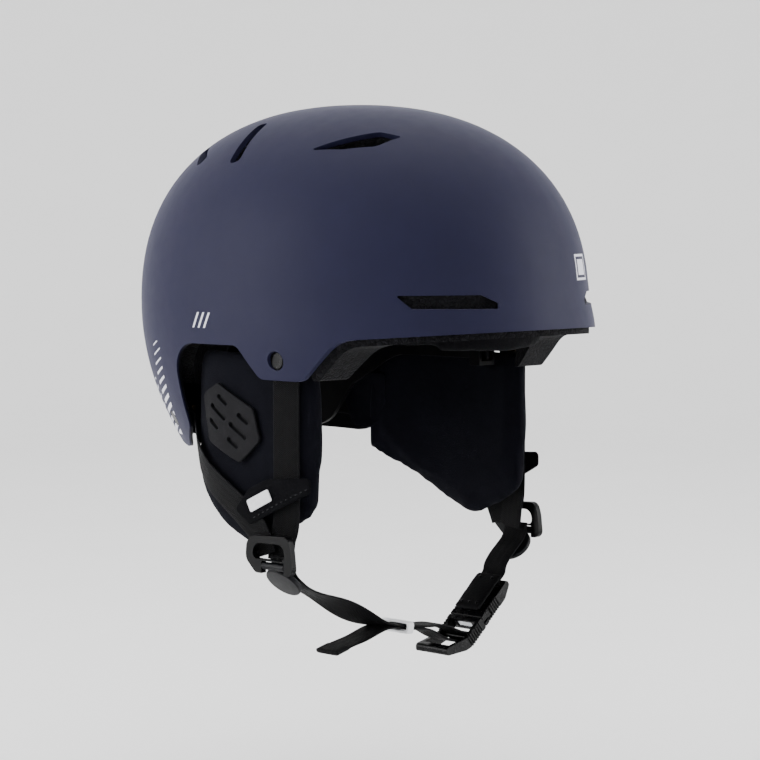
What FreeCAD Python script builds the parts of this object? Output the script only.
import FreeCAD, Part
import math
import os

V = FreeCAD.Vector

# Water helmet in millimetres. +X is the wearer's left, -Y the front, +Z up. The origin is the centre of the
# head opening, level with the front brim. Right-hand pieces are made first and mirrored for the left.

# Shell: an egg whose plan and side profile are superellipses.
SHELL_SIDE = 108.0
SHELL_FRONT = 142.0
SHELL_REAR = 134.0
SHELL_CROWN = 124.0
SHELL_WALL = 3.0
WIDEST_Z = 12.3
PLAN_POWER = 2.116
PROFILE_POWER = 2.292
TUCK = 0.191
TUCK_DEPTH = 80.0
BRIM_FLARE = 6.5
BRIM_FLARE_HEIGHT = 21.0

# Liner, pads and the room for the head.
BOND_GAP = 0.4
LINER_SIDE = 18.0
LINER_ENDS = 23.0
LINER_TOP = 21.0
PAD_THICK = 6.0
EAR_PAD_REAR = 74.0
EAR_PAD_INNER_REAR = EAR_PAD_REAR - 0.6
EAR_PAD_THICK = 13.0
GRILLE_THICK = 2.0
SLEEVE_THICK = 1.2

# Webbing and its hardware.
STRAP_WIDTH = 17.0
STRAP_THICK = 1.5
LAYER_GAP = 0.35
STRAP_LIFT = 0.7
DIVIDER_Y = -38.0
HINGE_Z = -124.0
FRAME_THICK = 3.6
LOCK_RADIUS = 10.5
LOCK_THICK = 3.0
PIN_RADIUS = 1.0
PIN_PLAY = 0.06
SCREW_RADIUS = 2.0
HEAD_RADIUS = 4.7
HEAD_HEIGHT = 2.4
NUT_RADIUS = 4.4
NUT_HEIGHT = 2.6

# Fit cradle and its dial.
CRADLE_CLEAR = 9.2
CRADLE_SIDE = SHELL_SIDE - SHELL_WALL - 2 * BOND_GAP - LINER_SIDE - PAD_THICK - CRADLE_CLEAR
CRADLE_REAR = SHELL_REAR - SHELL_WALL - 2 * BOND_GAP - LINER_ENDS - PAD_THICK - CRADLE_CLEAR
CRADLE_THICK = 2.4
CRADLE_TRAVEL = 10.0
DIAL_Z = -59.0
DIAL_RADIUS = 13.0
HOUSING_RADIUS = 15.5
GEAR_TEETH = 10
GEAR_MODULE = 1.0
SLIDE_PLAY = 0.4

# Chin buckle. The chin straps start inside the webbing above them, so that they clear the levers as they swing.
CHIN_STRAP_INSET = 2.75
BUCKLE_SLOPE = 40.0
BUCKLE_CHEEK = 3.5
BUCKLE_WIDTH = STRAP_WIDTH + 2 * BUCKLE_CHEEK
BUCKLE_THICK = 7.5
SOCKET_LENGTH = 30.0
TONGUE_LENGTH = 19.0


# ---------------------------------------------------------------- plain geometry

def rounded_wire(corners, place):
    """A closed outline with a round at each corner (u, v, radius); place turns (u, v) into a point."""
    count = len(corners)
    cuts = []
    for i in range(count):
        u, v, r = corners[i]
        before = V(corners[i - 1][0] - u, corners[i - 1][1] - v, 0)
        after = V(corners[(i + 1) % count][0] - u, corners[(i + 1) % count][1] - v, 0)
        half = before.getAngle(after) / 2
        reach = min(r / math.tan(half), 0.49 * before.Length, 0.49 * after.Length) if r > 0 else 0.0
        before.normalize()
        after.normalize()
        middle = before + after
        here = V(u, v, 0)
        if reach > 1e-6 and middle.Length > 1e-6:
            radius = reach * math.tan(half)
            middle.normalize()
            tip = here + middle * (radius / math.sin(half) - radius)
            cuts.append((here + before * reach, tip, here + after * reach))
        else:
            cuts.append((here, None, here))
    edges = []
    for i in range(count):
        start, tip, end = cuts[i]
        if tip is not None:
            edges.append(Part.Arc(place(start), place(tip), place(end)).toShape())
        following = cuts[(i + 1) % count][0]
        if (following - end).Length > 1e-6:
            edges.append(Part.LineSegment(place(end), place(following)).toShape())
    return Part.Wire(edges)


def side_prism(corners, x_low, x_high):
    """A side-view outline (y, z, radius) drawn out along X."""
    wire = rounded_wire(corners, lambda p: V(x_low, p.x, p.y))
    return Part.Face(wire).extrude(V(x_high - x_low, 0, 0))


def front_prism(corners, y_low, y_high):
    """A front-view outline (x, z, radius) drawn out along Y."""
    wire = rounded_wire(corners, lambda p: V(p.x, y_low, p.y))
    return Part.Face(wire).extrude(V(0, y_high - y_low, 0))


def local_prism(corners, origin, along, across, depth_from, depth_to):
    """An outline in the plane of two unit vectors at origin, drawn out along their normal."""
    normal = along.cross(across)
    wire = rounded_wire(corners, lambda p: origin + along * p.x + across * p.y + normal * depth_from)
    return Part.Face(wire).extrude(normal * (depth_to - depth_from))


def mirrored(shape):
    return shape.mirror(V(0, 0, 0), V(1, 0, 0))


def both(shape):
    return Part.makeCompound([shape, mirrored(shape)])


def rod(centre, axis, radius, length):
    """A cylinder that starts at centre and runs along axis."""
    return Part.makeCylinder(radius, length, centre, axis)


def box(x_low, x_high, y_low, y_high, z_low, z_high):
    return Part.makeBox(x_high - x_low, y_high - y_low, z_high - z_low, V(x_low, y_low, z_low))


def ribbon(stations, width, thick):
    """Flat webbing through stations of (centre, width direction), lofted from thin rectangles."""
    sections = []
    for i, (centre, across) in enumerate(stations):
        ahead = stations[min(i + 1, len(stations) - 1)][0] - stations[max(i - 1, 0)][0]
        face = ahead.cross(across)
        face.normalize()
        side = face.cross(ahead)
        side.normalize()
        side = side * (width / 2)
        face = face * (thick / 2)
        points = [centre + side + face, centre - side + face, centre - side - face, centre + side - face]
        sections.append(Part.makePolygon(points + [points[0]]))
    return Part.makeLoft(sections, True, True)


# ---------------------------------------------------------------- eggs

def tuck_at(z, tuck=TUCK):
    return 1 - tuck * (max(0.0, WIDEST_Z - z) / TUCK_DEPTH) ** 2


def side_x(y, z, side, front, rear, tuck=TUCK):
    """Half width of an egg at a place in side view, below its widest level."""
    length = front if y < 0 else rear
    rest = tuck_at(z, tuck) ** PLAN_POWER - (abs(y) / length) ** PLAN_POWER
    return side * max(rest, 0.0) ** (1 / PLAN_POWER)


def egg(side, front, rear, crown, low, flare=0.0, tuck=TUCK):
    """A closed egg, round at the crown and cut flat at height low."""
    top_rows, low_rows, columns = 16, 8, 48
    rows = []
    for k in range(top_rows + 1):
        w = math.pi / 2 * k / top_rows
        r = (math.sin(w) ** PROFILE_POWER + max(0.0, math.cos(w)) ** PROFILE_POWER) ** (-1 / PROFILE_POWER)
        rows.append((r * math.sin(w), WIDEST_Z + (crown - WIDEST_Z) * r * math.cos(w)))
    rows[1] = (rows[1][0], crown)
    for k in range(1, low_rows + 1):
        z = WIDEST_Z + (low - WIDEST_Z) * k / low_rows
        rows.append((tuck_at(z, tuck), z))
    poles = []
    for size, z in rows:
        row = []
        for j in range(columns):
            c, s = math.cos(2 * math.pi * j / columns), math.sin(2 * math.pi * j / columns)
            r = size * (abs(c) ** PLAN_POWER + abs(s) ** PLAN_POWER) ** (-1 / PLAN_POWER)
            length = front if c > 0 else rear
            height = max(0.0, min(1.0, (BRIM_FLARE_HEIGHT - z) / BRIM_FLARE_HEIGHT))
            lip = flare * max(0.0, c) ** 1.5 * height ** 1.5
            row.append(V(side * r * s + lip * s, -length * r * c - lip * c, z))
        poles.append(row)
    spans = len(poles) - 3
    surface = Part.BSplineSurface()
    surface.buildFromPolesMultsKnots(
        poles, [4] + [1] * (spans - 1) + [4], [1] * (columns + 1),
        list(range(spans + 1)), list(range(columns + 1)), False, True, 3, 3)
    dome = surface.toShape()
    rims = [e for e in dome.Edges if e.BoundBox.ZMax < low + 1e-3]
    skin = Part.Shell([dome, Part.Face(Part.Wire(rims))])
    skin.sewShape()
    solid = Part.Solid(skin)
    if solid.Volume < 0:
        solid.reverse()
    return solid


def shell_egg(inset_side, inset_ends, inset_top, low=-80.0):
    """The shell's egg made smaller all round; the brim's flare goes with it."""
    return egg(SHELL_SIDE - inset_side, SHELL_FRONT - inset_ends, SHELL_REAR - inset_ends,
               SHELL_CROWN - inset_top, low, BRIM_FLARE)


def ear_layer(outset, thick, inner_rear=None):
    """An upright curved layer round the ear pads; outset 0 is the pads' outer face."""
    outer = egg(EAR_PAD_SIDE + outset, SHELL_FRONT + outset, EAR_PAD_REAR + outset, 60, -130, 0, 0)
    rear = inner_rear or EAR_PAD_REAR + outset - thick
    inner = egg(EAR_PAD_SIDE + outset - thick, SHELL_FRONT + outset - thick, rear, 60 - thick, -131, 0, 0)
    return outer.cut(inner)


def dome_place(x, y):
    """The point over (x, y) on the shell's crown, and the outward normal there."""
    length = SHELL_FRONT if y < 0 else SHELL_REAR
    height = SHELL_CROWN - WIDEST_Z
    across = (abs(x) / SHELL_SIDE) ** PLAN_POWER + (abs(y) / length) ** PLAN_POWER
    size = across ** (1 / PLAN_POWER)
    z = height * (1 - size ** PROFILE_POWER) ** (1 / PROFILE_POWER)
    steep = PROFILE_POWER * size ** (PROFILE_POWER - PLAN_POWER)
    normal = V(math.copysign(steep * (abs(x) / SHELL_SIDE) ** (PLAN_POWER - 1) / SHELL_SIDE, x),
               math.copysign(steep * (abs(y) / length) ** (PLAN_POWER - 1) / length, y),
               PROFILE_POWER * (z / height) ** (PROFILE_POWER - 1) / height)
    normal.normalize()
    return V(x, y, z + WIDEST_Z), normal


# ---------------------------------------------------------------- shell and liner

SHELL_RIM = [(-200, 6, 0), (-76, -3.2, 22), (-53.5, -25.5, 9), (-26.5, -25.0, 6), (-12.5, -7.3, 6),
             (42, -7.6, 20), (45.5, -54.5, 8), (60, -69, 9), (90, -66, 20), (200, -66, 0),
             (200, -140, 0), (-200, -140, 0)]
LINER_LOW = -50.5 + STRAP_WIDTH / 2
LINER_RIM = [(-200, 3, 0), (-79, -6.6, 18), (-61, -25, 4), (-57, -25, 3), (-56, -7.5, 3),
             (44, -7.5, 10), (66, -24, 10), (72, LINER_LOW, 8), (200, LINER_LOW, 0), (200, -140, 0),
             (-200, -140, 0)]
# Vents: plan place on the crown, heading in degrees from straight ahead, outline (along, across, radius).
CROWN_VENTS = [
    (-59.5, -55.5, 38, [(-25, -2.5, 0.8), (-6, -7.5, 10), (12, -7.5, 8), (25, 2.0, 0.8), (13, 6.5, 5)]),
    (-69.0, 17.0, 96, [(-19, -4.0, 3), (19, -3.2, 3), (19, 3.2, 3), (-19, 4.0, 3)]),
    (-62.0, 60.0, 118, [(-17, -3.8, 3), (17, -3.0, 3), (17, 3.0, 3), (-17, 3.8, 3)]),
]
BROW_VENT = [(-27, 3.4, 0.6), (17.6, 3.7, 3), (27, -0.5, 1), (27, -3.6, 1), (-18.9, -3.4, 3)]
BROW_VENT_X = 57.0
BROW_VENT_INSET = 4.3
BROW_VENT_AT = V(-BROW_VENT_X, BROW_VENT_INSET - SHELL_FRONT * (1 - (BROW_VENT_X / SHELL_SIDE) ** PLAN_POWER)
                 ** (1 / PLAN_POWER), 17.0)
BROW_VENT_TURN = 39.0
SIDE_SCREW = V(-side_x(-38.9, -14.7, SHELL_SIDE, SHELL_FRONT, SHELL_REAR), -38.9, -14.7)
REAR_SCREW = V(-side_x(67.4, -53.1, SHELL_SIDE, SHELL_FRONT, SHELL_REAR), 67.4, -53.1)


def vent_cutters(shrink, depth):
    """Right-hand vents as solids that cut down to depth below the shell's face."""
    cutters = []
    for x, y, heading, outline in CROWN_VENTS:
        origin, normal = dome_place(x, y)
        angle = math.radians(heading)
        ahead = V(math.sin(angle), -math.cos(angle), 0)
        along = (ahead - normal * ahead.dot(normal)).normalize()
        across = normal.cross(along)
        corners = [(u * shrink, v * shrink, r) for u, v, r in outline]
        cutters.append(local_prism(corners, origin, along, across, -depth, 16))
    turn = math.radians(BROW_VENT_TURN)
    along = V(math.cos(turn), -math.sin(turn), 0)
    corners = [(u * shrink, v * shrink, r) for u, v, r in BROW_VENT]
    cutters.append(local_prism(corners, BROW_VENT_AT, along, V(0, 0, 1), -30, depth))
    return cutters


def rear_arch(grow):
    """The opening at the nape that the dial is reached through."""
    return front_prism([(-34 - grow, -90, 0), (34 + grow, -90, 0), (34 + grow, -60, 10), (24, -43 + grow, 14),
                        (-24, -43 + grow, 14), (-34 - grow, -60, 10)], 60, 180)


def rear_normal():
    """Outward direction of the shell at the rear screws."""
    x, y = abs(REAR_SCREW.x), REAR_SCREW.y
    normal = V(-(x / SHELL_SIDE) ** (PLAN_POWER - 1) / SHELL_SIDE,
               (y / SHELL_REAR) ** (PLAN_POWER - 1) / SHELL_REAR, -0.0035)
    return normal.normalize()


SIDE_NORMAL = V(-1, 0, 0)
REAR_NORMAL = rear_normal()
SIDE_BOSS = 2.7
REAR_BOSS = 2.6
BOSS_CLEAR = 0.85
# The ear pads lie as far out as the webbing between them and the side screws' bosses allows.
AT_SIDE_SCREW = (1 - (-SIDE_SCREW.y / SHELL_FRONT) ** PLAN_POWER) ** (1 / PLAN_POWER)
EAR_PAD_SIDE = ((-SIDE_SCREW.x - SHELL_WALL - SIDE_BOSS - BOSS_CLEAR) / AT_SIDE_SCREW
                - STRAP_LIFT - STRAP_THICK)
CHIN_START_X = EAR_PAD_SIDE + STRAP_LIFT + STRAP_THICK / 2 - CHIN_STRAP_INSET
BUCKLE_TOP = V(CHIN_START_X - 21.3, DIVIDER_Y, HINGE_Z - 24.9)
SCREW_SEATS = [(SIDE_SCREW, SIDE_NORMAL, SIDE_BOSS), (REAR_SCREW, REAR_NORMAL, REAR_BOSS)]


def outer_shell():
    shape = shell_egg(0, 0, 0).cut(shell_egg(SHELL_WALL, SHELL_WALL, SHELL_WALL, -81))
    shape = shape.cut(side_prism(SHELL_RIM, -150, 150)).cut(rear_arch(0))
    for place, normal, boss in SCREW_SEATS:
        bosses = rod(place - normal * (SHELL_WALL - 0.8 + boss), normal, HEAD_RADIUS + 1.8, boss)
        shape = shape.fuse([bosses, mirrored(bosses)])
    cutters = []
    for place, normal, boss in SCREW_SEATS:
        cutters.append(rod(place - normal * SHELL_WALL, normal, HEAD_RADIUS + 0.4, 12))
        cutters.append(rod(place - normal * 15, normal, SCREW_RADIUS + 0.2, 20))
    cutters += vent_cutters(1.0, 14)
    return shape.cut(cutters + [mirrored(c) for c in cutters])


def foam_liner():
    gap = SHELL_WALL + BOND_GAP
    outer = shell_egg(gap, gap, gap)
    inner = egg(SHELL_SIDE - gap - LINER_SIDE, SHELL_FRONT - gap - LINER_ENDS, SHELL_REAR - gap - LINER_ENDS,
                SHELL_CROWN - gap - LINER_TOP, -81)
    shape = outer.cut(inner).cut(side_prism(LINER_RIM, -150, 150))
    cutters = vent_cutters(0.82, 55)
    return shape.cut(cutters + [mirrored(c) for c in cutters])


# ---------------------------------------------------------------- comfort pads

def pad_layer(clear=BOND_GAP, thick=PAD_THICK):
    gap = SHELL_WALL + BOND_GAP + clear
    size = [SHELL_SIDE - gap - LINER_SIDE, SHELL_FRONT - gap - LINER_ENDS, SHELL_REAR - gap - LINER_ENDS,
            SHELL_CROWN - gap - LINER_TOP]
    inner = egg(size[0] - thick, size[1] - thick, size[2] - thick, size[3] - thick, -81)
    return egg(*size, -80).cut(inner)


def crown_pad():
    corners = [(-30, -62, 14), (30, -62, 14), (34, 0, 40), (30, 62, 14), (-30, 62, 14), (-34, 0, 40)]
    column = rounded_wire(corners, lambda p: V(p.x, p.y, 40))
    return pad_layer().common(Part.Face(column).extrude(V(0, 0, 90)))


def brow_pad():
    corners = [(-64, -6, 8), (-40, -11, 20), (0, -15, 40), (40, -11, 20), (64, -6, 8), (62, 16, 8),
               (0, 20, 60), (-62, 16, 8)]
    return pad_layer().common(front_prism(corners, -150, -40))


def right_side_pad():
    corners = [(-36, 12, 8), (52, 12, 8), (48, 34, 10), (0, 38, 40), (-32, 34, 10)]
    return pad_layer().common(side_prism(corners, -150, 0))


EAR_PAD = [(-54, -27, 6), (-55.5, -60, 60), (-52, -97, 12), (-36, -107, 8), (-12, -118, 10), (10, -109, 30),
           (36, -92, 40), (48, -84, 10), (53, -78, 4), (53, -50, 10), (44, -10, 14), (-17, -10, 5),
           (-26, -27, 5)]
GRILLE = [(27, -35.5, 4), (11, -28.5, 4), (-17, -41.5, 4), (-22, -58.5, 4), (-7, -71.5, 4), (19.5, -61, 4)]


def right_ear_pad():
    return ear_layer(0, EAR_PAD_THICK, EAR_PAD_INNER_REAR).common(side_prism(EAR_PAD, -150, 0))


def slot_corners(y, z, length, height, lean):
    """A round-ended slot that leans like the grille's own long edges."""
    c, s = math.cos(lean), math.sin(lean)
    half, rise, r = length / 2, height / 2, 0.45 * height
    flat = [(-half, -rise), (half, -rise), (half, rise), (-half, rise)]
    return [(y + u * c - v * s, z + u * s + v * c, r) for u, v in flat]


def right_ear_vent():
    plate = ear_layer(0.35 + GRILLE_THICK, GRILLE_THICK).common(side_prism(GRILLE, -150, 0))
    lean = math.radians(-27)
    centre_y = sum(c[0] for c in GRILLE) / len(GRILLE)
    centre_z = sum(c[1] for c in GRILLE) / len(GRILLE)
    for column in (-1, 1):
        for row in (-1, 0, 1):
            u, v = 7.6 * column, 9.0 * row
            y = centre_y + u * math.cos(lean) - v * math.sin(lean)
            z = centre_z + u * math.sin(lean) + v * math.cos(lean)
            plate = plate.cut(side_prism(slot_corners(y, z, 11.5, 4.6, lean), -150, 0))
    return plate


# ---------------------------------------------------------------- straps on the ear pads

FRONT_STRAP_Y = -39.2
STRAPS_FACE = STRAP_LIFT + 2 * STRAP_THICK + 2 * LAYER_GAP
SLEEVE_FACE = STRAPS_FACE + SLEEVE_THICK
TAG_THICK = 0.8
REAR_STRAP = [(8, -86.5), (22, -78.8), (34, -70.0), (44, -60.5), (51, -55.5)]
REAR_STRAP_LOW = [(-26.0, HINGE_Z + 4.5), (-20.5, HINGE_Z + 18.0), (-8.0, HINGE_Z + 28.0)]


def ear_point(y, z, outset):
    """A point on the ear layer, outset from the ear pad's outer face, and the layer's outward normal."""
    x = side_x(y, z, EAR_PAD_SIDE + outset, SHELL_FRONT + outset, EAR_PAD_REAR + outset, 0)
    step = 0.5
    ahead = side_x(y - step, z, EAR_PAD_SIDE + outset, SHELL_FRONT + outset, EAR_PAD_REAR + outset, 0)
    behind = side_x(y + step, z, EAR_PAD_SIDE + outset, SHELL_FRONT + outset, EAR_PAD_REAR + outset, 0)
    normal = V(-2 * step, (ahead - behind), 0).normalize()
    return V(-x, y, z), normal


def strap_on_pad(route, outset):
    """Stations along (y, z) places on the ear pad, with the webbing flat against it."""
    stations = []
    for i, (y, z) in enumerate(route):
        centre, normal = ear_point(y, z, outset)
        ends = (route[max(i - 1, 0)], route[min(i + 1, len(route) - 1)])
        ahead = V(0, ends[1][0] - ends[0][0], ends[1][1] - ends[0][1])
        stations.append((centre, normal.cross(ahead).normalize()))
    return stations


def right_front_strap():
    outset = STRAP_LIFT + STRAP_THICK / 2
    route = [(FRONT_STRAP_Y, -9), (FRONT_STRAP_Y, -60), (FRONT_STRAP_Y, HINGE_Z + 26),
             (FRONT_STRAP_Y + 2.5, HINGE_Z + 14), (FRONT_STRAP_Y + 4.0, HINGE_Z + 2)]
    strap = ribbon(strap_on_pad(route, outset), STRAP_WIDTH, STRAP_THICK)
    return strap.cut(rod(SIDE_SCREW + V(-5, 0, 0), V(1, 0, 0), SCREW_RADIUS + 0.3, 30))


def right_rear_strap():
    low = strap_on_pad(REAR_STRAP_LOW, STRAP_LIFT + 1.5 * STRAP_THICK + LAYER_GAP)
    high = strap_on_pad(REAR_STRAP, STRAP_LIFT + 0.4 + STRAP_THICK / 2)
    inset = SHELL_WALL + REAR_BOSS + NUT_HEIGHT + STRAP_THICK / 2
    shell = []
    for y, z in ((62, -53.0), (76, -50.5)):
        x = side_x(y, z, SHELL_SIDE - inset, SHELL_FRONT, SHELL_REAR - inset)
        shell.append((V(-x, y, z), REAR_NORMAL.cross(V(0.35, 0.85, 0.39)).normalize()))
    strap = ribbon(low + high + shell, STRAP_WIDTH, STRAP_THICK)
    return strap.cut(rod(REAR_SCREW - REAR_NORMAL * 20, REAR_NORMAL, SCREW_RADIUS + 0.3, 30))


def right_strap_sleeve():
    corners = [(-57, -76, 3), (-57, -84, 3), (-17.5, -103.5, 2), (-6.5, -96, 2), (-17, -84, 3),
               (-30, -78, 3)]
    return ear_layer(SLEEVE_FACE, SLEEVE_THICK).common(side_prism(corners, -150, 0))


def right_sleeve_tag():
    corners = [(-16.3, -90.4, 1), (-31, -83.2, 1), (-34, -89.2, 1), (-19.4, -96.6, 1)]
    return ear_layer(SLEEVE_FACE + LAYER_GAP + TAG_THICK, TAG_THICK).common(side_prism(corners, -150, 0))


# ---------------------------------------------------------------- dividers

FRAME_OUT = EAR_PAD_SIDE + STRAPS_FACE
# Outlines in (y, height above the hinge, radius).
FRAME = [(-49, 17, 8), (-18.5, 15.5, 12), (-17.5, 3, 6), (-25, -4, 4), (-53, -4, 4), (-51.5, 10, 20)]
WINDOW = [(-46, 12.5, 5), (-24, 12, 8), (-22.5, 3.5, 3), (-47.5, 3.5, 3)]
LOCK_PIN = V(-FRAME_OUT - FRAME_THICK / 2, DIVIDER_Y, HINGE_Z)
LOCK_BARREL = 2.1
LOCK_BARREL_LENGTH = 16.0
LOCK_NORMAL = V(-math.cos(math.radians(45)), 0, -math.sin(math.radians(45)))


def from_hinge(outline):
    return [(y, HINGE_Z + z, r) for y, z, r in outline]


def right_divider_frame():
    shape = side_prism(from_hinge(FRAME), -FRAME_OUT - FRAME_THICK, -FRAME_OUT)
    shape = shape.cut(side_prism(from_hinge(WINDOW), -150, 0))
    half = LOCK_BARREL_LENGTH / 2 + SLIDE_PLAY
    notch = box(-150, 0, DIVIDER_Y - half, DIVIDER_Y + half, HINGE_Z - 20, HINGE_Z + LOCK_BARREL + 0.7)
    shape = shape.cut(notch)
    return shape.cut(rod(LOCK_PIN + V(0, -14.5, 0), V(0, 1, 0), PIN_RADIUS + 0.02, 27))


def lock_centre():
    """Centre of the round lever, hanging from its pin at 45 degrees along the chin strap."""
    down = V(-LOCK_NORMAL.z, 0, LOCK_NORMAL.x)
    return LOCK_PIN + down * (LOCK_RADIUS + 0.5) + LOCK_NORMAL * 1.2


def right_divider_lock():
    disc = rod(lock_centre() - LOCK_NORMAL * (LOCK_THICK / 2), LOCK_NORMAL, LOCK_RADIUS, LOCK_THICK)
    edges = [e for e in disc.Edges if isinstance(e.Curve, Part.Circle)]
    disc = disc.makeFillet(0.9, edges)
    barrel = rod(LOCK_PIN + V(0, -LOCK_BARREL_LENGTH / 2, 0), V(0, 1, 0), LOCK_BARREL, LOCK_BARREL_LENGTH)
    shape = disc.fuse(barrel)
    return shape.cut(rod(LOCK_PIN + V(0, -20, 0), V(0, 1, 0), PIN_RADIUS + PIN_PLAY, 40))


def divider_pins():
    return both(rod(LOCK_PIN + V(0, -12, 0), V(0, 1, 0), PIN_RADIUS, 24))


# ---------------------------------------------------------------- screws and nuts

def screw(place, normal, length):
    seat = place - normal * SHELL_WALL
    head = rod(seat, normal, HEAD_RADIUS, HEAD_HEIGHT)
    head = head.makeFillet(0.7, [head.Edges[0]]) if head.Edges else head
    socket = local_prism([(2.0 * math.cos(math.radians(60 * k)), 2.0 * math.sin(math.radians(60 * k)), 0)
                          for k in range(6)], seat + normal * (HEAD_HEIGHT - 1.2),
                         V(0, 0, 1), normal.cross(V(0, 0, 1)), 0, -5)
    shank = rod(seat - normal * length, normal, SCREW_RADIUS, length)
    return head.cut(socket).fuse(shank)


def nut(place, normal, length):
    far = place - normal * (SHELL_WALL + length)
    corners = [(NUT_RADIUS * math.cos(math.radians(60 * k)), NUT_RADIUS * math.sin(math.radians(60 * k)), 0.4)
               for k in range(6)]
    along = V(0, 0, 1)
    shape = local_prism(corners, far, along, normal.cross(along).normalize(), 0, NUT_HEIGHT)
    if (shape.CenterOfMass - far).dot(normal) < 0:
        shape.translate(normal * NUT_HEIGHT)
    return shape.cut(rod(far - normal * 5, normal, SCREW_RADIUS + 0.04, 20))


SIDE_SCREW_LENGTH = 8.8
REAR_SCREW_LENGTH = 10.4

# ---------------------------------------------------------------- fit cradle

CRADLE = [(-58, -11, 2), (34, -11, 14), (66, -36, 14), (80, -38, 20), (120, -42, 0), (120, -68, 0),
          (84, -70, 14), (66, -62, 12), (56, -40, 14), (30, -21, 20), (-58, -21, 2)]
HOUSING_Y = CRADLE_REAR + 0.4
HOUSING_DEPTH = 12.0
GEAR_Y = HOUSING_Y + 2.2
GEAR_WIDE = 4.6
RACK_LENGTH = 42.0


def cradle_egg(outset, low=-90):
    return egg(CRADLE_SIDE + outset, CRADLE_SIDE + 30 + outset, CRADLE_REAR + outset, 40 + outset, low, 0, 0.03)


def fit_cradle():
    shape = cradle_egg(0).cut(cradle_egg(-CRADLE_THICK, -91)).common(side_prism(CRADLE, -120, 120))
    shape = shape.cut(box(-120, 120, -200, -45, -120, 60))
    for x in (-1, 1):
        hole = [(x * 17, -63, 3), (x * 34, -60, 3), (x * 36, -52, 3), (x * 17, -46, 3)]
        shape = shape.cut(front_prism(hole, 20, 120))
    return shape


def nape_pad():
    layer = cradle_egg(-CRADLE_THICK - 0.35, -90).cut(cradle_egg(-CRADLE_THICK - 5.35, -91))
    corners = [(-38, -44, 8), (0, -42, 20), (38, -44, 8), (34, -67, 8), (-34, -67, 8)]
    return layer.common(front_prism(corners, 40, 120))


GUIDE_CLEAR = 1.8


def fit_arm_guides():
    """A loop for each arm at the temple, wide enough for the arm's curve over the cradle's whole travel."""
    outer_x = side_x(-34 + CRADLE_TRAVEL, -16, CRADLE_SIDE, CRADLE_SIDE + 30, CRADLE_REAR, 0.03)
    inner_x = side_x(-44, -16, CRADLE_SIDE, CRADLE_SIDE + 30, CRADLE_REAR, 0.03) - CRADLE_THICK
    loop = box(-outer_x - 3.2, -inner_x + 3.2, -42, -34, -24.5, -5)
    hole = box(-outer_x - 1.2, -inner_x + 1.2, -50, -20, -22, -10)
    liner_x = side_x(-38, -7, SHELL_SIDE - SHELL_WALL - BOND_GAP - LINER_SIDE,
                     SHELL_FRONT - SHELL_WALL - BOND_GAP - LINER_ENDS, SHELL_REAR)
    stem = box(GUIDE_CLEAR - liner_x, -outer_x - 1.3, -42, -34, -8.2, -5)
    return both(loop.cut(hole).fuse(stem))


def dial_housing():
    centre = V(0, HOUSING_Y, DIAL_Z)
    body = rod(centre, V(0, 1, 0), HOUSING_RADIUS, HOUSING_DEPTH)
    wings = box(-22, 22, HOUSING_Y, HOUSING_Y + 8.5, DIAL_Z - 9.6, DIAL_Z + 9.6)
    pad_cut = cradle_egg(0.35)
    shape = body.fuse(wings)
    shape = shape.makeFillet(1.2, [e for e in shape.Edges if e.BoundBox.YMin > HOUSING_Y + 8])
    shape = shape.cut(box(-40, 40, GEAR_Y - 0.5, GEAR_Y + GEAR_WIDE + 0.5, DIAL_Z - 8.4, DIAL_Z + 8.4))
    shape = shape.cut(pad_cut)
    return shape.cut(rod(centre + V(0, GEAR_Y - HOUSING_Y, 0), V(0, 1, 0), 3.0 + PIN_PLAY, 30))


def gear_outline(teeth, module, backlash):
    """Corners of a plain spur gear with straight flanks, one tooth pointing up."""
    pitch = teeth * module / 2
    corners = []
    for k in range(teeth):
        base = math.pi / 2 + 2 * math.pi * k / teeth
        for radius, share in ((pitch - 1.2 * module, -0.40), (pitch + 0.9 * module, -0.13),
                              (pitch + 0.9 * module, 0.13), (pitch - 1.2 * module, 0.40)):
            angle = base + share * 2 * math.pi / teeth * (1 - backlash)
            corners.append((radius * math.cos(angle), radius * math.sin(angle), 0))
    return corners


def dial_pinion():
    corners = [(x, z + DIAL_Z, r) for x, z, r in gear_outline(GEAR_TEETH, GEAR_MODULE, 0.08)]
    gear = front_prism(corners, GEAR_Y, GEAR_Y + GEAR_WIDE)
    shaft_end = HOUSING_Y + HOUSING_DEPTH + 6
    shaft = rod(V(0, GEAR_Y, DIAL_Z), V(0, 1, 0), 3.0, shaft_end - GEAR_Y)
    shape = gear.fuse(shaft)
    return shape.cut(rod(V(0, GEAR_Y + 2, DIAL_Z), V(0, 1, 0), 1.25, 40))


def rack(sign):
    """A toothed strip; sign +1 runs above the pinion with its teeth down, -1 below with its teeth up."""
    pitch = math.pi * GEAR_MODULE
    radius = GEAR_TEETH * GEAR_MODULE / 2
    start = -34.0 if sign > 0 else -8.0
    end = start + RACK_LENGTH
    line = DIAL_Z + sign * radius
    top = line + sign * 3.2
    root = line + sign * 1.2 * GEAR_MODULE
    tip = line - sign * 0.8 * GEAR_MODULE
    corners = [(start, top, 0), (start, root, 0)]
    k = math.ceil(start / pitch - 0.5)
    while (k + 0.5) * pitch < end - 1.2:
        middle = (k + 0.5) * pitch
        if middle > start + 1.2:
            corners += [(middle - 0.95, root, 0), (middle - 0.38, tip, 0),
                        (middle + 0.38, tip, 0), (middle + 0.95, root, 0)]
        k += 1
    corners += [(end, root, 0), (end, top, 0)]
    return front_prism(corners, GEAR_Y + 0.4, GEAR_Y + GEAR_WIDE - 0.4)


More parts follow.
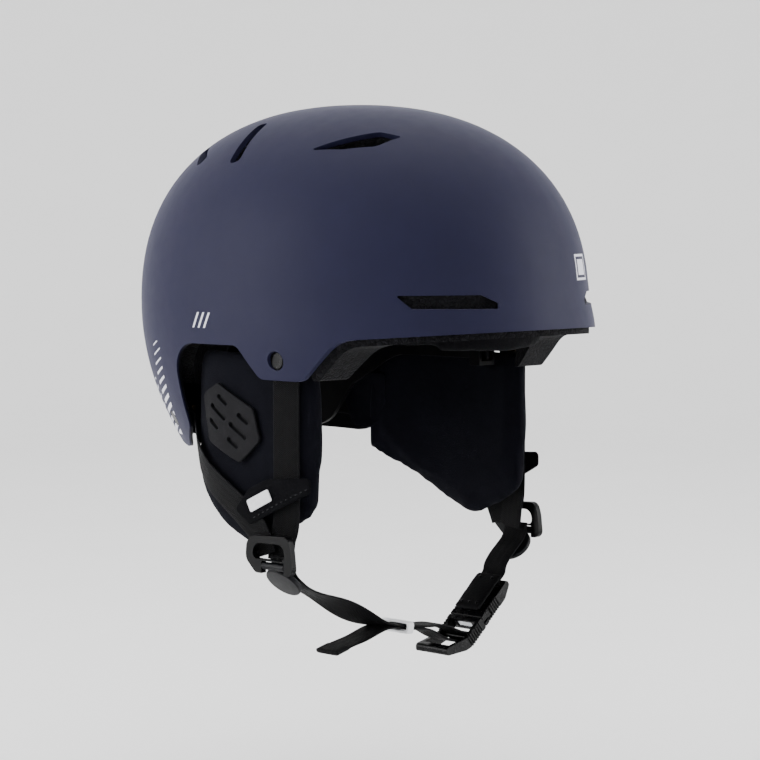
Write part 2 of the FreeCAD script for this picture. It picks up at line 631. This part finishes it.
def dial_knob():
    back = HOUSING_Y + HOUSING_DEPTH + 0.5
    knob = rod(V(0, back, DIAL_Z), V(0, 1, 0), DIAL_RADIUS, 8.5)
    knob = knob.makeFillet(1.2, [e for e in knob.Edges if isinstance(e.Curve, Part.Circle)
                                 and e.BoundBox.YMin > back + 8])
    grips = []
    for k in range(16):
        angle = 2 * math.pi * k / 16
        at = V((DIAL_RADIUS + 1.1) * math.cos(angle), back - 1, DIAL_Z + (DIAL_RADIUS + 1.1) * math.sin(angle))
        grips.append(rod(at, V(0, 1, 0), 1.9, 12))
    knob = knob.cut(grips)
    knob = knob.cut(rod(V(0, back - 1, DIAL_Z), V(0, 1, 0), 3.0 + 0.03, 20))
    return knob.cut(rod(V(0, back + 6.9, DIAL_Z), V(0, 1, 0), 5.2, 4))


def dial_screw():
    seat = HOUSING_Y + HOUSING_DEPTH + 6.9
    head = rod(V(0, seat + 0.52, DIAL_Z), V(0, 1, 0), 4.6, 1.5)
    shank = rod(V(0, seat - 9, DIAL_Z), V(0, 1, 0), 1.2, 10)
    return head.cut(box(-0.5, 0.5, seat + 1.3, seat + 3, DIAL_Z - 5, DIAL_Z + 5)).fuse(shank)


# ---------------------------------------------------------------- chin strap and buckle

ALONG = V(-math.cos(math.radians(BUCKLE_SLOPE)), 0, -math.sin(math.radians(BUCKLE_SLOPE)))
OUTWARD = V(math.sin(math.radians(BUCKLE_SLOPE)), 0, -math.cos(math.radians(BUCKLE_SLOPE)))
SPLIT_X = BUCKLE_TOP.x - 61.9
RING_X = SPLIT_X - 19.0
RING_Z = HINGE_Z - 43.0
RING_SLOPE = -0.15


def ring_line(x, layer):
    """Height of the webbing's middle near the keeper ring; layer 0 is the upper strap, 1 the tail."""
    return RING_Z + RING_SLOPE * (x - RING_X) - layer * (STRAP_THICK + LAYER_GAP)


def chin_ribbon(route):
    return ribbon([(V(x, DIVIDER_Y, z), V(0, 1, 0)) for x, z in route], STRAP_WIDTH, STRAP_THICK)


def right_chin_strap():
    route = [(-CHIN_START_X, HINGE_Z - 3), (4.9 - CHIN_START_X, HINGE_Z - 7.5),
             (11.7 - CHIN_START_X, HINGE_Z - 13), (RING_X - 55, RING_Z + 20.5), (RING_X - 29, RING_Z + 8)]
    return chin_ribbon(route + [(x, ring_line(x, 0)) for x in (RING_X - 15, SPLIT_X)])


def strap_tail():
    route = [(x, ring_line(x, 1)) for x in (SPLIT_X, RING_X - 15)]
    return chin_ribbon(route + [(RING_X - 33, RING_Z - 3.5), (RING_X - 56, RING_Z - 8)])


def buckle_point(along, out):
    return BUCKLE_TOP + ALONG * along + OUTWARD * out


def tongue_loop():
    """The webbing's turn round the tongue's bar, an upper run in and a lower run out."""
    bar = buckle_point(*TONGUE_BAR)
    turn = BAR_RADIUS + LAYER_GAP + STRAP_THICK / 2 + 0.25
    upper = [(SPLIT_X + LAYER_GAP, ring_line(SPLIT_X, 0)), (SPLIT_X + 14, RING_Z - 4.4)]
    round_bar = []
    for degrees in (115, 75, 35, -5, -45, -85):
        angle = math.radians(degrees)
        round_bar.append((bar.x + turn * math.cos(angle), bar.z + turn * math.sin(angle)))
    lower = [(SPLIT_X + 16, RING_Z - 12), (SPLIT_X + LAYER_GAP, ring_line(SPLIT_X, 1))]
    return chin_ribbon(upper + round_bar + lower)


def left_chin_strap():
    slot_places = ((-3.5, 0.55), (1.8, 0.65), (3.6, 1.2), (4.0, 2.6), (4.0, 6.0))
    into_slot = [buckle_point(*place) for place in slot_places]
    route = [(CHIN_START_X, HINGE_Z - 3), (CHIN_START_X - 4.6, HINGE_Z - 7),
             (CHIN_START_X - 11.2, HINGE_Z - 12.2), (CHIN_START_X - 16.2, HINGE_Z - 17.8)]
    return chin_ribbon(route + [(p.x, p.z) for p in into_slot])


def buckle_prism(corners, y_low, y_high):
    """A buckle outline in (along, out, radius), drawn out across its width."""
    def place(p):
        return buckle_point(p.x, p.y) + V(0, y_low - DIVIDER_Y, 0)
    return Part.Face(rounded_wire(corners, place)).extrude(V(0, y_high - y_low, 0))


BUCKLE_BACK = 1.6
HALF = BUCKLE_WIDTH / 2
GROOVE_DEPTH = 8.0
SOCKET_MAGNET_AT = 11.5
MAGNET_RADIUS = 4.1
MAGNET_THICK = 2.2
TONGUE_BAR = (SOCKET_LENGTH + 12.5, 6.0)
BAR_RADIUS = 1.5


def groove(grow):
    """The hooked key that joins the two halves: a neck with a thicker lip at its end."""
    end = SOCKET_LENGTH - GROOVE_DEPTH
    mid = BUCKLE_BACK + BUCKLE_THICK / 2
    return [(SOCKET_LENGTH + 2, mid + 1.1 + grow, 0), (end + 3 + grow, mid + 1.1 + grow, 0),
            (end + 3 + grow, mid + 2.2 + grow, 0), (end - grow, mid + 2.2 + grow, 0),
            (end - grow, mid - 2.2 - grow, 0), (end + 3 + grow, mid - 2.2 - grow, 0),
            (end + 3 + grow, mid - 1.1 - grow, 0), (SOCKET_LENGTH + 2, mid - 1.1 - grow, 0)]


def buckle_socket():
    front, back = BUCKLE_BACK, BUCKLE_BACK + BUCKLE_THICK
    profile = [(0, front, 1.5), (SOCKET_LENGTH, front, 0.6), (SOCKET_LENGTH, back, 1), (8, back, 6),
               (0, front + 3.6, 1.5)]
    body = buckle_prism(profile, DIVIDER_Y - HALF, DIVIDER_Y + HALF)
    slot = [(2.4, -4, 0), (5.6, -4, 0), (5.6, 20, 0), (2.4, 20, 0)]
    body = body.cut(buckle_prism(slot, DIVIDER_Y - STRAP_WIDTH / 2 - 1, DIVIDER_Y + STRAP_WIDTH / 2 + 1))
    body = body.cut(buckle_prism(groove(SLIDE_PLAY), DIVIDER_Y - 30, DIVIDER_Y + HALF - 2 + SLIDE_PLAY))
    for side in (-1, 1):
        for k in range(7):
            at = 14.0 + 1.9 * k
            rib = [(at, front - 1, 0), (at + 0.9, front - 1, 0), (at + 0.9, back + 1, 0), (at, back + 1, 0)]
            edge = sorted((DIVIDER_Y + side * (HALF - 0.6), DIVIDER_Y + side * (HALF + 1)))
            body = body.cut(buckle_prism(rib, *edge))
    pocket = rod(buckle_point(SOCKET_MAGNET_AT, front - 1), OUTWARD, MAGNET_RADIUS + 0.1, MAGNET_THICK + 1.4)
    return body.cut(pocket)


def socket_magnet():
    return rod(buckle_point(SOCKET_MAGNET_AT, BUCKLE_BACK + 0.2), OUTWARD, MAGNET_RADIUS, MAGNET_THICK)


def tongue_magnet():
    low = SOCKET_LENGTH + SLIDE_PLAY + 1.2
    bar = [(low + 0.1, BUCKLE_BACK + 1.3, 0), (low + 1.7, BUCKLE_BACK + 1.3, 0),
           (low + 1.7, BUCKLE_BACK + 6.2, 0), (low + 0.1, BUCKLE_BACK + 6.2, 0)]
    return buckle_prism(bar, DIVIDER_Y - 5.9, DIVIDER_Y + 5.9)


def buckle_tongue():
    start = SOCKET_LENGTH + SLIDE_PLAY
    end = SOCKET_LENGTH + TONGUE_LENGTH
    front, back = BUCKLE_BACK, BUCKLE_BACK + BUCKLE_THICK
    profile = [(start, front, 0.6), (end - 3, front, 1), (end + 13, front - 8.6, 2), (end + 15.5, front - 5.0, 1.5),
               (end + 2, back - 2.4, 5), (end - 4, back, 3), (start, back, 1)]
    body = buckle_prism(profile, DIVIDER_Y - HALF, DIVIDER_Y + HALF)
    key = groove(0)
    body = body.fuse(buckle_prism(key, DIVIDER_Y - HALF + 1, DIVIDER_Y + HALF - 2))
    low, high = DIVIDER_Y - STRAP_WIDTH / 2 - 1, DIVIDER_Y + STRAP_WIDTH / 2 + 1
    bar_s, bar_t = TONGUE_BAR
    room = [(bar_s - 8.5, -10, 0), (end + 9, -20, 0), (end + 9, 20, 0), (bar_s - 8.5, 20, 0)]
    body = body.cut(buckle_prism(room, low, high))
    bar = rod(buckle_point(bar_s, bar_t) + V(0, -HALF + 1, 0), V(0, 1, 0), BAR_RADIUS, BUCKLE_WIDTH - 2)
    body = body.fuse(bar)
    pocket = [(start + 1.2, front + 1.2, 0), (bar_s - 8, front + 1.2, 0), (bar_s - 8, front + 6.3, 0),
              (start + 1.2, front + 6.3, 0)]
    body = body.cut(buckle_prism(pocket, DIVIDER_Y - 6, DIVIDER_Y + 6))
    for side in (-1, 1):
        for k in range(7):
            at = start + 3.5 + 1.9 * k
            rib = [(at, front - 1, 0), (at + 0.9, front - 1, 0), (at + 0.9, back + 1, 0), (at, back + 1, 0)]
            edge = sorted((DIVIDER_Y + side * (HALF - 0.6), DIVIDER_Y + side * (HALF + 1)))
            body = body.cut(buckle_prism(rib, *edge))
    return body


def chin_pad():
    corners = [(-1.5, -2.9, 1.0), (28, -1.4, 1.0), (28, 1.2, 0.4), (6.8, 1.2, 0.4), (6.8, -0.5, 0.4),
               (-1.5, -0.5, 0.4)]
    return buckle_prism(corners, DIVIDER_Y - 10, DIVIDER_Y + 10)


def keeper_ring():
    x_dir = V(1, 0, RING_SLOPE).normalize()
    z_dir = V(0, 1, 0).cross(x_dir) * -1
    centre = V(RING_X, DIVIDER_Y, ring_line(RING_X, 0.5))
    wide, tall = STRAP_WIDTH / 2 + 0.8, STRAP_THICK + LAYER_GAP / 2 + 0.35
    wall = 1.5
    outer = [(-wide - wall, -tall - wall, 2), (wide + wall, -tall - wall, 2), (wide + wall, tall + wall, 2),
             (-wide - wall, tall + wall, 2)]
    inner = [(-wide, -tall, 0.6), (wide, -tall, 0.6), (wide, tall, 0.6), (-wide, tall, 0.6)]
    along, across = V(0, 1, 0), z_dir
    ring = local_prism(outer, centre, along, across, -2.5, 2.5)
    return ring.cut(local_prism(inner, centre, along, across, -4, 4))


# ---------------------------------------------------------------- writing

PAIRS = {
    "side_pad": right_side_pad, "ear_pad": right_ear_pad, "ear_vent": right_ear_vent,
    "front_strap": right_front_strap, "rear_strap": right_rear_strap, "strap_sleeve": right_strap_sleeve,
    "sleeve_tag": right_sleeve_tag, "divider_frame": right_divider_frame, "divider_lock": right_divider_lock,
}
SINGLES = {
    "outer_shell": outer_shell, "foam_liner": foam_liner, "crown_pad": crown_pad, "brow_pad": brow_pad,
    "divider_pins": divider_pins,
    "side_screws": lambda: both(screw(SIDE_SCREW, SIDE_NORMAL, SIDE_SCREW_LENGTH)),
    "side_nuts": lambda: both(nut(SIDE_SCREW, SIDE_NORMAL, SIDE_SCREW_LENGTH)),
    "rear_screws": lambda: both(screw(REAR_SCREW, REAR_NORMAL, REAR_SCREW_LENGTH)),
    "rear_nuts": lambda: both(nut(REAR_SCREW, REAR_NORMAL, REAR_SCREW_LENGTH)),
    "fit_cradle": fit_cradle, "nape_pad": nape_pad, "fit_arm_guides": fit_arm_guides,
    "dial_housing": dial_housing, "dial_knob": dial_knob, "dial_pinion": dial_pinion,
    "right_rack": lambda: rack(1), "left_rack": lambda: rack(-1), "dial_screw": dial_screw,
    "right_chin_strap": right_chin_strap, "strap_tail": strap_tail, "tongue_loop": tongue_loop,
    "left_chin_strap": left_chin_strap, "chin_pad": chin_pad, "buckle_socket": buckle_socket,
    "socket_magnet": socket_magnet, "buckle_tongue": buckle_tongue, "tongue_magnet": tongue_magnet,
    "keeper_ring": keeper_ring,
}


def write(name, shape):
    shape = shape.removeSplitter() if len(shape.Solids) == 1 else shape
    shape.exportStep("parts/" + name + ".step")
    box_ = shape.BoundBox
    print("%-20s %2d solid, valid %s, %9.0f mm3, x %.1f..%.1f y %.1f..%.1f z %.1f..%.1f" % (
        name, len(shape.Solids), shape.isValid(), shape.Volume,
        box_.XMin, box_.XMax, box_.YMin, box_.YMax, box_.ZMin, box_.ZMax))


os.makedirs("parts", exist_ok=True)
for name, make in SINGLES.items():
    write(name, make())
for name, make in PAIRS.items():
    right = make()
    write("right_" + name, right)
    write("left_" + name, mirrored(right))
